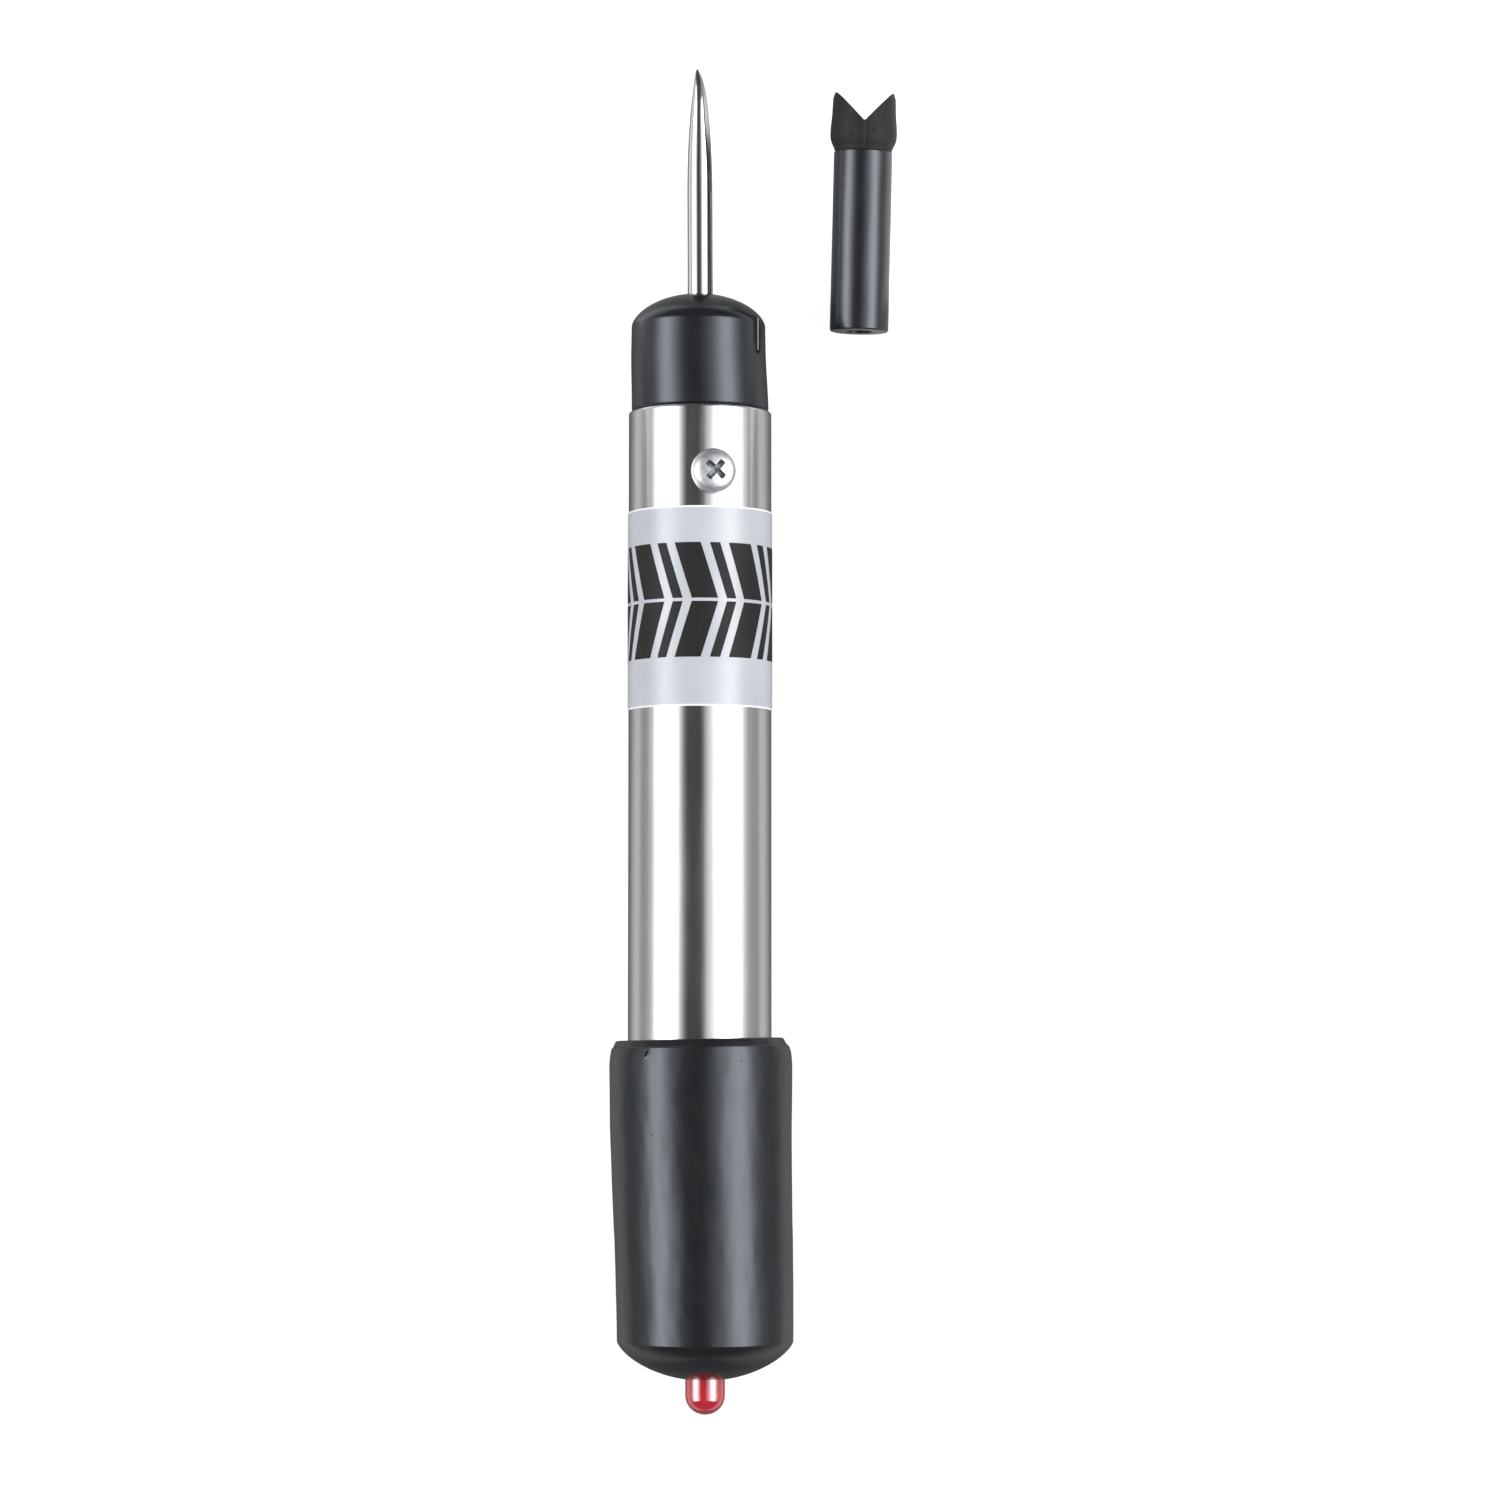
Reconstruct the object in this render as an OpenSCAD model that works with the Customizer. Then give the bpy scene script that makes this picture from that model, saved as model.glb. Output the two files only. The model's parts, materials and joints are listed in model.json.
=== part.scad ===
// Cordless circuit tester.
// A steel probe needle stands in a black insulating nose. The nose is screwed into a plated
// barrel that holds two cells. A soft boot covers the barrel's rear end and carries the lamp
// and its circuit board. A notched guard for the needle lies beside the tool.
//
// The tool lies along Y with its needle towards +Y and its screw on top, towards +Z.
// The origin is on the tool's axis, where the needle leaves the nose. Lengths are millimetres.

/* [Needle] */
// Diameter of the straight shank
needle_d = 3.2; // [2.8:0.1:3.6]
// Length of the straight shank in front of the nose
shank_len = 12.9; // [10:0.1:24]
// Length of the ground point
point_len = 16.3; // [8:0.1:18]

/* [Nose] */
// Length of the nose in front of the barrel
nose_len = 14.8; // [12:0.1:18]
// Diameter behind the dome
nose_front_d = 16.9; // [15:0.1:17.1]
// Diameter where the nose meets the barrel
nose_rear_d = 17.3; // [16.8:0.1:17.6]
// Height of the dome
dome_h = 3.9; // [2:0.1:6]
// Length of the spigot inside the barrel
spigot_len = 12.5; // [11:0.5:14]
// Length of the keyway that runs back from the dome's foot
keyway_len = 3.1; // [1:0.1:6]
// Angle of the keyway from the top of the tool
keyway_turn = 60; // [30:1:120]

/* [Barrel] */
// Outside diameter
barrel_od = 18; // [18:0.1:18.6]
// Wall thickness
barrel_wall = 0.8; // [0.6:0.1:1]
// Whole length, with the part inside the boot
barrel_len = 113.4; // [113.4:0.1:113.8]
// Distance from the barrel's front edge to the label
label_start = 12.8; // [12:0.1:20]
// Length of the label
label_len = 25; // [15:0.5:30]

/* [Nose screw] */
// Distance from the barrel's front edge to the screw
screw_back = 8.5; // [7:0.1:9]
// Head diameter
screw_head_d = 5.6; // [5:0.1:6]
// Turn of the screw from the top of the tool
screw_turn = 11; // [0:1:20]
// Turn of the cross recess in the head
recess_turn = 51; // [0:1:90]

/* [Cells] */
// Diameter over the jacket
cell_d = 10.5; // [10:0.1:10.5]
// Length over the positive cap
cell_len = 44.5; // [44.3:0.1:44.5]

/* [Boot] */
// Diameter at the open rim
boot_rim_d = 23; // [22.6:0.1:25]
// Diameter at the rear shoulder
boot_tail_d = 22; // [21.8:0.1:24]
// Length of barrel inside the boot
boot_grip = 34.6; // [30:0.1:36]
// Height of the rear dome
boot_dome_h = 4.6; // [4:0.1:5]

/* [Lamp] */
// Diameter of the lamp
lamp_d = 5; // [4.8:0.1:5.2]
// Length of lamp that stands out of the boot
lamp_out = 4.5; // [3.8:0.1:5]
// Sideways offset of the lamp from the barrel's axis
lamp_side = 0.7; // [0:0.1:0.8]

/* [Needle guard] */
// Overall length
guard_len = 30.6; // [26:0.1:36]
// Outside diameter of the sleeve
guard_od = 7.5; // [7.2:0.1:8]
// Width of the notched head
guard_head_w = 8.5; // [8.4:0.1:9]
// Length of the notched head
guard_head_len = 7.7; // [7:0.1:9]
// Depth of the V notch
notch_depth = 4.1; // [2:0.1:4.2]
// Width of the V notch at its mouth
notch_w = 7.5; // [6:0.1:7.6]
// Bore for the needle
guard_bore_d = 3.3; // [3.3:0.05:3.8]
// Distance from the tool's axis to the guard's axis, at the guard's rear end
guard_side = 20.2; // [17:0.1:30]
// Position of the guard's rear end along the tool
guard_rear_y = -3.7; // [-10:0.1:10]
// Angle between the guard and the tool
guard_lean = 1.4; // [0:0.1:5]

/* [Hidden] */

$fn = 64;
cut = 0.5;      // how far a cutting shape runs past a face
fit = 0.05;     // radial gap between pieces that slide on each other
gap = 0.1;      // end gap between pieces that part
nose_power = 0.6;  // shape of the nose's dome: a lower power is a fuller dome
boot_power = 0.7;  // shape of the boot's dome

// Radii
needle_r = needle_d / 2;
barrel_r = barrel_od / 2;
barrel_ri = barrel_r - barrel_wall;
cell_r = cell_d / 2;
lamp_r = lamp_d / 2;
label_t = 0.1;

// Stations along the tool, front to rear
barrel_y = -nose_len;
barrel_rear_y = barrel_y - barrel_len;
spigot_y = barrel_y - spigot_len;
screw_y = barrel_y - screw_back;
label_y = barrel_y - label_start;
boot_rim_y = barrel_rear_y + boot_grip;

// Nose
nose_flat_r = 2.8;

// Needle tail, ferrule and front contact
tail_neck_r = 1.3;
tail_knurl_r = 1.9;
tail_knurl_len = 4;
tail_y = spigot_y - 1.7;
ferrule_flange_t = 0.6;
ferrule_flange_r = 4;
ferrule_y = tail_y - ferrule_flange_t;
disc_t = 0.5;
disc_r = 6.4;
disc_y = spigot_y - 5.6;
wire_d = 0.5;

// Nose screw
screw_thread_r = 1.45;
screw_len = 5.6;
screw_head_h = 2;

// Battery liner and supply strip
liner_r = barrel_ri - 0.1;
liner_bore_r = cell_r + 0.2;
liner_front_y = spigot_y - gap;
liner_rear_y = barrel_rear_y + 7.3;
strip_t = 0.3;
strip_w = 2.4;
strip_r = 7.2;
strip_groove_w = 3;

// Cells
cells_y = disc_y - disc_t - gap;
rear_cell_y = cells_y - cell_len - gap;
cells_end_y = rear_cell_y - cell_len;
jacket_t = 0.15;
cap_r = 1.9;
cap_h = 0.9;

// Circuit board and its contacts
board_t = 1.2;
board_r = 7.1;
board_y = barrel_rear_y + 2.3;
pad_t = 0.3;
pad_r = 4;
finger_t = 0.3;
finger_w = 3;
finger_len = 3;

// Boot, lamp and carrier
boot_wall_end = 2;
boot_end_y = barrel_rear_y - 7.8;
boot_shoulder_y = boot_end_y + boot_dome_h;
boot_bore_r = barrel_r + fit;
boot_flat_r = 3.2;
boot_floor_y = boot_end_y + boot_wall_end;
boot_floor_r = 5.5;
inner_shoulder_y = boot_shoulder_y + 0.6;
lamp_tip_y = boot_end_y - lamp_out;
lamp_len = 8.6;
lamp_base_y = lamp_tip_y + lamp_len;
lamp_flange_r = lamp_r + 0.45;
lamp_flange_t = 1;
lead_w = 0.5;
lead_pitch = 2.54;
carrier_seat_t = 3;
carrier_floor_y = boot_floor_y + carrier_seat_t;
carrier_front_y = board_y + 3.4;

// The tool lies on the boot's rim and the barrel's front edge, so the floor slopes under it
boot_foot_y = boot_rim_y - 2.6;
floor_slope = (boot_rim_d - barrel_od) / 2 / (barrel_y - boot_foot_y);
function floor_z(y) = -barrel_r + (y - barrel_y) * floor_slope;

// Needle guard: it lies on the same floor, on its head and on the sleeve's rear end
guard_r = guard_od / 2;
guard_bore_r = guard_bore_d / 2;
guard_stem_r = 2.7;
guard_stem_len = 6;
guard_head_y = guard_len - guard_head_len;
guard_widest_y = guard_head_y + 2.3;
guard_axis_z = floor_z(guard_rear_y) + guard_r;
guard_rise = atan(floor_slope) + atan((guard_head_w / 2 - guard_r) / guard_widest_y);

// ---- Helpers -------------------------------------------------------------------------

// A solid turned about the Y axis from points [radius, y]
module turned(points) {
  rotate([-90, 0, 0]) rotate_extrude() polygon(points);
}

// A rod along Y, from y1 to y2
module rod(r, y1, y2) {
  translate([0, min(y1, y2), 0]) rotate([-90, 0, 0]) cylinder(r = r, h = abs(y2 - y1));
}

// A tube along Y, from y1 to y2
module tube(r_out, r_in, y1, y2) {
  difference() {
    rod(r_out, y1, y2);
    rod(r_in, min(y1, y2) - cut, max(y1, y2) + cut);
  }
}

// A block centred on x and z, from y1 to y2
module block(w, h, y1, y2) {
  translate([-w / 2, min(y1, y2), -h / 2]) cube([w, abs(y2 - y1), h]);
}

// Turns its children about the tool's axis, from the top towards +X
module turned_from_top(angle) {
  rotate([0, angle, 0]) children();
}

// Height of the dome curve at r / r_out, from 1 in the middle to 0 at its foot
function dome_curve(u, power) = pow(max(0, 1 - u * u), power);

// Outline of a dome with a flat top of radius r_flat, as points [radius, height]
function dome(r_out, height, r_flat, power, steps = 20) =
  [for (i = [0:steps]) let (r = r_flat + (r_out - r_flat) * sin(90 * i / steps))
    [r, height * dome_curve(r / r_out, power) / dome_curve(r_flat / r_out, power)]];

// Outline of a rounded outer edge as points [radius, y], a quarter turn about [r, y]
function round_edge(r, y, radius, from, to, steps = 6) =
  [for (i = [0:steps]) let (a = from + (to - from) * i / steps)
    [r + radius * cos(a), y + radius * sin(a)]];

// Centre line of a coil spring with closed ends, along +Z
function coil_height(t, turns, len) =
  let (end_pitch = wire_d * 1.05, body = len - wire_d - 2 * end_pitch, active = turns - 2)
  wire_d / 2 + (t < 1 ? end_pitch * t
    : t > turns - 1 ? end_pitch + body + end_pitch * (t - turns + 1)
    : end_pitch + body * (t - 1) / active);

// A coil spring between y1 (front) and y2 (rear), as a swept wire
module coil_spring(r, turns, y1, y2) {
  sides = 8;
  per_turn = 24;
  rings = turns * per_turn;
  len = y1 - y2;
  wire_r = wire_d / 2;
  points = [for (i = [0:rings]) let (a = 360 * i / per_turn)
    for (k = [0:sides - 1]) let (b = 360 * k / sides, rr = r + wire_r * cos(b))
      [rr * cos(a), rr * sin(a), coil_height(i / per_turn, turns, len) + wire_r * sin(b)]];
  first = [for (k = [0:sides - 1]) k];
  last = [for (k = [sides - 1:-1:0]) rings * sides + k];
  walls = [for (i = [0:rings - 1]) for (k = [0:sides - 1])
    let (a = i * sides + k, b = i * sides + (k + 1) % sides)
    [a, a + sides, b + sides, b]];
  translate([0, y2, 0]) rotate([-90, 0, 0])
    polyhedron(points = points, faces = concat([first], walls, [last]));
}

// ---- Needle and nose -----------------------------------------------------------------

// Outline of the needle's tail inside the nose: a knurled collar between two necks
function tail_outline(grow) = [
  [0, 0],
  [tail_neck_r + grow, 0],
  [tail_neck_r + grow, -nose_len / 2],
  [tail_knurl_r + grow, -nose_len / 2 - 0.5],
  [tail_knurl_r + grow, -nose_len / 2 - tail_knurl_len],
  [tail_neck_r + grow, -nose_len / 2 - tail_knurl_len - 0.5],
  [tail_neck_r + grow, tail_y],
  [0, tail_y]
];

// The ground point: a slender curve from the tip to the shank
function point_outline(steps = 16) =
  [for (i = [0:steps]) let (t = pow(i / steps, 1.5))
    [needle_r * pow(1 - pow(1 - t, 2), 0.6), shank_len + point_len * (1 - t)]];

module probe_needle() {
  color("silver") union() {
    turned(concat(point_outline(), [[needle_r, 0], [0, 0]]));
    turned(tail_outline(0));
  }
}

module needle_ferrule() {
  color("goldenrod") difference() {
    union() {
      rod(tail_neck_r + 0.7, spigot_y, tail_y);
      rod(ferrule_flange_r, tail_y, ferrule_y);
    }
    rod(tail_neck_r, spigot_y + cut, tail_y);
  }
}

module nose_insulator() {
  nose_r = nose_front_d / 2;
  foot_y = -dome_h;
  front = [for (p = dome(nose_r, dome_h, nose_flat_r, nose_power)) [p[0], foot_y + p[1]]];
  groove_w = 1.8;
  groove_depth = 0.7;
  groove_y = foot_y - keyway_len;
  color([0.09, 0.09, 0.1]) difference() {
    turned(concat([[0, 0]], front, [
      [nose_rear_d / 2, barrel_y + 0.3],
      [nose_rear_d / 2 - 0.15, barrel_y],
      [barrel_ri, barrel_y],
      [barrel_ri, spigot_y],
      [0, spigot_y]
    ]));
    // The tail is moulded in, so it fills its own cavity
    turned(tail_outline(0));
    rod(tail_neck_r, tail_y, spigot_y + cut);
    turned_from_top(keyway_turn) {
      translate([-groove_w / 2, groove_y, nose_r - groove_depth])
        cube([groove_w, dome_h + keyway_len, 3]);
      translate([0, groove_y, nose_r - groove_depth]) cylinder(d = groove_w, h = 3);
    }
    turned_from_top(screw_turn) translate([0, screw_y, 0])
      screw_shank(screw_thread_r, screw_len);
  }
}

// The screw's shank: from just inside the head down towards the tool's axis
module screw_shank(r, len) {
  translate([0, 0, barrel_r - len + 1]) cylinder(r = r, h = len - 1);
  translate([0, 0, barrel_r - len]) cylinder(r1 = 0.5, r2 = r, h = 1);
}

module nose_screw() {
  head_r = screw_head_d / 2;
  side_h = 0.9;
  recess_w = 0.55;
  recess_d = 2.9;
  recess_depth = 1.1;
  color([0.8, 0.8, 0.78]) turned_from_top(screw_turn) translate([0, screw_y, 0])
    difference() {
      union() {
        screw_shank(screw_thread_r, screw_len);
        translate([0, 0, barrel_r]) rotate_extrude() polygon(concat(
          [[0, 0], [head_r, 0], [head_r, side_h]],
          [for (a = [15:15:90])
            [head_r * cos(a), side_h + (screw_head_h - side_h) * sin(a)]]));
      }
      for (a = [0, 90]) rotate([0, 0, recess_turn + a])
        translate([-recess_d / 2, -recess_w / 2, barrel_r + screw_head_h - recess_depth])
          cube([recess_d, recess_w, recess_depth + cut]);
    }
}

// ---- Barrel, label and battery tube --------------------------------------------------

module barrel() {
  edge = 0.35;
  color([0.82, 0.83, 0.85]) difference() {
    turned(concat(
      [[barrel_ri, barrel_rear_y], [barrel_r, barrel_rear_y]],
      round_edge(barrel_r - edge, barrel_y - edge, edge, 0, 90),
      [[barrel_ri, barrel_y]]));
    turned_from_top(screw_turn) translate([0, screw_y, 0])
      cylinder(r = screw_thread_r, h = barrel_r + cut);
  }
}

module label_band() {
  color([0.9, 0.91, 0.94]) tube(barrel_r + label_t, barrel_r, label_y, label_y - label_len);
}

module contact_disc() {
  color("goldenrod") rod(disc_r, disc_y, disc_y - disc_t);
}

module front_spring() {
  color("silver") coil_spring(3, 3, ferrule_y, disc_y);
}

module battery_liner() {
  core_w = 2.2;
  core_depth = 1.6;
  color([0.85, 0.85, 0.8]) difference() {
    tube(liner_r, liner_bore_r, liner_front_y, liner_rear_y);
    // The contact disc rests on a ledge
    rod(disc_r + 0.1, disc_y - disc_t, liner_front_y + cut);
    // Groove for the supply strip, and the slot that it enters by
    translate([0, 0, -liner_r]) block(strip_groove_w, 2 * (liner_r - strip_r),
      liner_front_y + cut, liner_rear_y - cut);
    translate([0, 0, -disc_r - 1]) block(strip_groove_w, 4,
      liner_front_y + cut, disc_y - disc_t - strip_t);
    // Cored-out flutes
    for (a = [-90, 0, 90]) turned_from_top(a)
      translate([0, 0, liner_r]) block(core_w, 2 * core_depth,
        liner_front_y - 6, liner_rear_y + 3);
  }
}

// A flat strip from the contact disc, back along the liner, to the board's edge
module supply_strip() {
  inner_r = board_r - 0.9;
  bend_y = liner_rear_y - strip_t - gap;
  bend_len = 0.6;
  top_y = disc_y - disc_t;
  color("goldenrod") translate([-strip_w / 2, 0, 0]) rotate([90, 0, 90])
    linear_extrude(height = strip_w) polygon([
      [top_y, -disc_r + 0.6],
      [top_y, -strip_r - strip_t],
      [bend_y, -strip_r - strip_t],
      [bend_y - bend_len, -inner_r - strip_t],
      [board_y + gap, -inner_r - strip_t],
      [board_y + gap, -inner_r],
      [bend_y + strip_t - bend_len, -inner_r],
      [bend_y + strip_t, -strip_r],
      [top_y - strip_t, -strip_r],
      [top_y - strip_t, -disc_r + 0.6]
    ]);
}

// ---- Cells ---------------------------------------------------------------------------

module cell_can(y) {
  r = cell_r - jacket_t;
  crimp = 0.6;
  shoulder_y = y - cap_h;
  color([0.75, 0.76, 0.78]) turned([
    [0, shoulder_y - 0.6], [cap_r + 1, shoulder_y - 0.6], [cap_r + 1.4, shoulder_y - 0.1],
    [r - crimp, shoulder_y - 0.1], [r, shoulder_y - crimp],
    [r, y - cell_len + 0.3], [r - 0.3, y - cell_len], [0, y - cell_len]
  ]);
}

module cell_cap(y) {
  color([0.85, 0.85, 0.87]) turned([
    [0, y], [cap_r - 0.2, y], [cap_r, y - 0.2], [cap_r, y - cap_h - 0.2],
    [cap_r + 0.6, y - cap_h - 0.3], [cap_r + 0.6, y - cap_h - 0.6], [0, y - cap_h - 0.6]
  ]);
}

module cell_jacket(y, tint) {
  color(tint) tube(cell_r, cell_r - jacket_t, y - cap_h - 1, y - cell_len + 0.6);
}

module front_cell_can() { cell_can(cells_y); }
module front_cell_cap() { cell_cap(cells_y); }
module front_cell_jacket() { cell_jacket(cells_y, [0.16, 0.3, 0.5]); }
module rear_cell_can() { cell_can(rear_cell_y); }
module rear_cell_cap() { cell_cap(rear_cell_y); }
module rear_cell_jacket() { cell_jacket(rear_cell_y, [0.16, 0.3, 0.5]); }

// ---- Circuit board -------------------------------------------------------------------

module rear_spring() {
  color("silver") coil_spring(3, 3, cells_end_y - gap, board_y + pad_t);
}

module battery_contact() {
  color("goldenrod") rod(pad_r, board_y + pad_t, board_y);
}

module circuit_board() {
  color([0.1, 0.35, 0.2]) difference() {
    rod(board_r, board_y, board_y - board_t);
    for (side = [-1, 1]) translate([lamp_side + side * lead_pitch / 2, 0, 0])
      block(lead_w, lead_w, board_y + cut, board_y - board_t - cut);
  }
}

// Small outline packages on the rear face: a moulded body over three flat feet
module transistors() {
  body = [2.9, 1, 1.3];
  foot = [0.4, 0.15, 2.4];
  rear_y = board_y - board_t;
  color([0.12, 0.12, 0.12]) for (side = [-1, 1]) translate([side * 4.3, rear_y, 1.4]) {
    translate([-body[0] / 2, -body[1] - foot[1], -body[2] / 2])
      cube([body[0], body[1], body[2]]);
    for (x = [-0.95, 0.95]) translate([x - foot[0] / 2, -foot[1], -foot[2] / 2])
      cube([foot[0], foot[1], foot[2] / 2]);
    translate([-foot[0] / 2, -foot[1], 0]) cube([foot[0], foot[1], foot[2] / 2]);
  }
}

module resistors() {
  chip = [3.2, 0.6, 1.6];
  rear_y = board_y - board_t;
  color([0.1, 0.1, 0.12]) for (side = [-1, 1])
    translate([side * 3.4 - chip[0] / 2, rear_y - chip[1], -3.6])
      cube(chip);
}

// A spring finger that reaches from the board's front face to the barrel's wall
module barrel_contact() {
  touch_r = sqrt(pow(barrel_ri - fit, 2) - pow(finger_w / 2, 2));
  foot_r = board_r - 2.2;
  color("goldenrod") translate([-finger_w / 2, 0, 0]) rotate([90, 0, 90])
    linear_extrude(height = finger_w) polygon([
      [board_y, foot_r],
      [board_y, touch_r],
      [board_y + finger_len, touch_r],
      [board_y + finger_len, touch_r - finger_t],
      [board_y + finger_t, touch_r - finger_t],
      [board_y + finger_t, foot_r]
    ]);
}

// ---- Lamp, carrier and boot ----------------------------------------------------------

// The lamp's two leads. One ends in the cup under the chip, the other in a flat post.
module lamp_leads() {
  front_y = board_y - board_t / 2;
  cup_y = lamp_tip_y + 4.4;
  color([0.8, 0.8, 0.8]) translate([lamp_side, 0, 0]) {
    translate([-lead_pitch / 2, 0, 0]) block(lead_w, lead_w, front_y, cup_y + 1);
    translate([lead_pitch / 2, 0, 0]) block(lead_w, lead_w, front_y, cup_y + 1);
    // Cup
    translate([-0.45, 0, 0]) block(2.1, lead_w, cup_y + 1, cup_y);
    translate([-0.3, cup_y, 0]) rotate([90, 0, 0]) cylinder(r1 = 0.6, r2 = 0.9, h = 0.8);
    // Post
    translate([lead_pitch / 2 - 0.1, 0, 0]) block(0.7, lead_w, cup_y + 1, cup_y - 0.6);
  }
}

module lamp_lens() {
  dome_y = lamp_tip_y + lamp_r * 0.95;
  color([0.8, 0.05, 0.12]) difference() {
    translate([lamp_side, 0, 0]) turned(concat(
      [[0, lamp_base_y], [lamp_flange_r, lamp_base_y],
        [lamp_flange_r, lamp_base_y - lamp_flange_t], [lamp_r, lamp_base_y - lamp_flange_t]],
      [for (a = [0:6:90]) [lamp_r * cos(a), dome_y - (dome_y - lamp_tip_y) * sin(a)]]));
    lamp_leads();
  }
}

// A plug in the barrel's rear end. It holds the board and seats the lamp in the boot's end.
module lamp_carrier() {
  plug_r = barrel_ri - fit;
  ledge_r = board_r - 0.7;
  board_rear_y = board_y - board_t;
  color([0.92, 0.9, 0.86]) difference() {
    turned([
      [board_r, carrier_front_y],
      [plug_r, carrier_front_y],
      [plug_r, barrel_rear_y - gap],
      [barrel_r - 0.2, barrel_rear_y - gap],
      [barrel_r - 0.2, inner_shoulder_y],
      [boot_floor_r, boot_floor_y],
      [0, boot_floor_y],
      [0, carrier_floor_y],
      [ledge_r, carrier_floor_y],
      [ledge_r, board_rear_y],
      [board_r, board_rear_y]
    ]);
    // Seat for the lamp's flange, and its way out
    translate([lamp_side, 0, 0]) {
      rod(lamp_flange_r + fit, carrier_floor_y + cut, lamp_base_y - lamp_flange_t);
      rod(lamp_r + fit, carrier_floor_y, boot_floor_y - cut);
    }
    // Slot for the spring finger
    translate([0, 0, board_r]) block(finger_w + 0.4, 4, carrier_front_y + cut, board_y);
  }
}

module boot() {
  rim_r = boot_rim_d / 2;
  tail_r = boot_tail_d / 2;
  rear = [for (p = dome(tail_r, boot_dome_h, boot_flat_r, boot_power)) [p[0], boot_shoulder_y - p[1]]];
  color([0.08, 0.08, 0.09]) difference() {
    turned(concat(
      [[0, boot_end_y]],
      rear,
      [[rim_r, boot_foot_y], [rim_r - 0.25, boot_rim_y - 0.8],
        [rim_r - 0.6, boot_rim_y], [0, boot_rim_y]]));
    turned([
      [0, boot_rim_y + cut],
      [boot_bore_r, boot_rim_y + cut],
      [boot_bore_r, inner_shoulder_y],
      [boot_floor_r + 0.2, boot_floor_y],
      [0, boot_floor_y]
    ]);
    translate([lamp_side, 0, 0]) rod(lamp_r + fit, boot_floor_y + cut, boot_end_y - cut);
  }
}

// ---- Needle guard --------------------------------------------------------------------

// Puts children, built along +Y from the guard's rear end, where the guard lies
module guard_place() {
  translate([guard_side, guard_rear_y, guard_axis_z]) rotate([guard_rise, 0, -guard_lean])
    children();
}

// A round head that flares from the sleeve, cut across by a V, with a stem for the sleeve
module guard_head() {
  head_r = guard_head_w / 2;
  tip_r = notch_w / 2;
  color([0.1, 0.1, 0.11]) guard_place() difference() {
    union() {
      turned([
        [0, guard_head_y],
        [guard_r - 0.05, guard_head_y],
        [guard_r + 0.1, guard_head_y + 0.5],
        [head_r - 0.1, guard_head_y + 1.5],
        [head_r, guard_widest_y],
        [head_r - 0.02, guard_head_y + 3],
        [head_r - 0.2, guard_head_y + 5],
        [head_r - 0.25, guard_len - 0.9],
        [tip_r + 0.15, guard_len - 0.3],
        [tip_r - 0.05, guard_len],
        [0, guard_len]
      ]);
      rod(guard_stem_r, guard_head_y - guard_stem_len, guard_head_y + cut);
    }
    rod(guard_bore_r, guard_head_y - guard_stem_len - cut, guard_len + cut);
    translate([0, 0, -guard_head_w]) linear_extrude(height = 2 * guard_head_w) polygon([
      [0, guard_len - notch_depth],
      [tip_r + 0.2, guard_len + 0.2],
      [-tip_r - 0.2, guard_len + 0.2]
    ]);
  }
}

module guard_sleeve() {
  edge = 0.3;
  stem_y = guard_head_y - guard_stem_len;
  color([0.12, 0.12, 0.13]) guard_place() turned(concat(
    [[guard_bore_r, stem_y], [guard_bore_r, 0]],
    round_edge(guard_r - edge, edge, edge, -90, 0),
    [[guard_r, guard_head_y - 0.15], [guard_r - 0.15, guard_head_y],
      [guard_stem_r, guard_head_y], [guard_stem_r, stem_y]]));
}

probe_needle();
needle_ferrule();
nose_insulator();
nose_screw();
barrel();
label_band();
contact_disc();
front_spring();
battery_liner();
supply_strip();
front_cell_can();
front_cell_cap();
front_cell_jacket();
rear_cell_can();
rear_cell_cap();
rear_cell_jacket();
rear_spring();
battery_contact();
circuit_board();
transistors();
resistors();
barrel_contact();
lamp_leads();
lamp_lens();
lamp_carrier();
boot();
guard_head();
guard_sleeve();
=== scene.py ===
"""The looks of the cordless circuit tester and its needle guard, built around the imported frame.

The tool lies along Y with its needle towards +Y. Sizes in this script are millimetres unless
a name says otherwise, and become metres when a mesh is made.
"""

import json
from math import asin, atan2, cos, pi, radians, sin, sqrt, tau

import bmesh
import bpy
from mathutils import Matrix, Vector, noise

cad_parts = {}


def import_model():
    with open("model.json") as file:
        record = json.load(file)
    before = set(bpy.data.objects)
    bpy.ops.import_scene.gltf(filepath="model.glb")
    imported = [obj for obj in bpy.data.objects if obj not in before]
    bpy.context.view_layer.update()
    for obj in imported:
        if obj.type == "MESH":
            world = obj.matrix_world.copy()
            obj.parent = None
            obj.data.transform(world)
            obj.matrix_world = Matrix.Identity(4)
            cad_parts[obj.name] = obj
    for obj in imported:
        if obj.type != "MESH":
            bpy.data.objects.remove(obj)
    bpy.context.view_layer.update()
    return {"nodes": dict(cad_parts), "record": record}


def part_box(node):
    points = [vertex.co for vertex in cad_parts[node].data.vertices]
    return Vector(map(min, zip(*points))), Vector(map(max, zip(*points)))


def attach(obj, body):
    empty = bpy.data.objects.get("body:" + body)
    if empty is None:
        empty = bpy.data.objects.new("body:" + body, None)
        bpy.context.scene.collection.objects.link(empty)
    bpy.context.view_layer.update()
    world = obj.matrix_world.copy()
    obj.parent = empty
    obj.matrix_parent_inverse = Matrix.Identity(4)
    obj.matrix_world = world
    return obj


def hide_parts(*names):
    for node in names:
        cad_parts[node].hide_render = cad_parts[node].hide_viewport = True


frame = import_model()

MM = 0.001
NODES = frame["nodes"]


def span(node):
    """Lowest and highest corner of a CAD node, in millimetres."""
    low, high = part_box(node)
    return low / MM, high / MM


# ---- Measures from the frame ---------------------------------------------------------------

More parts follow.
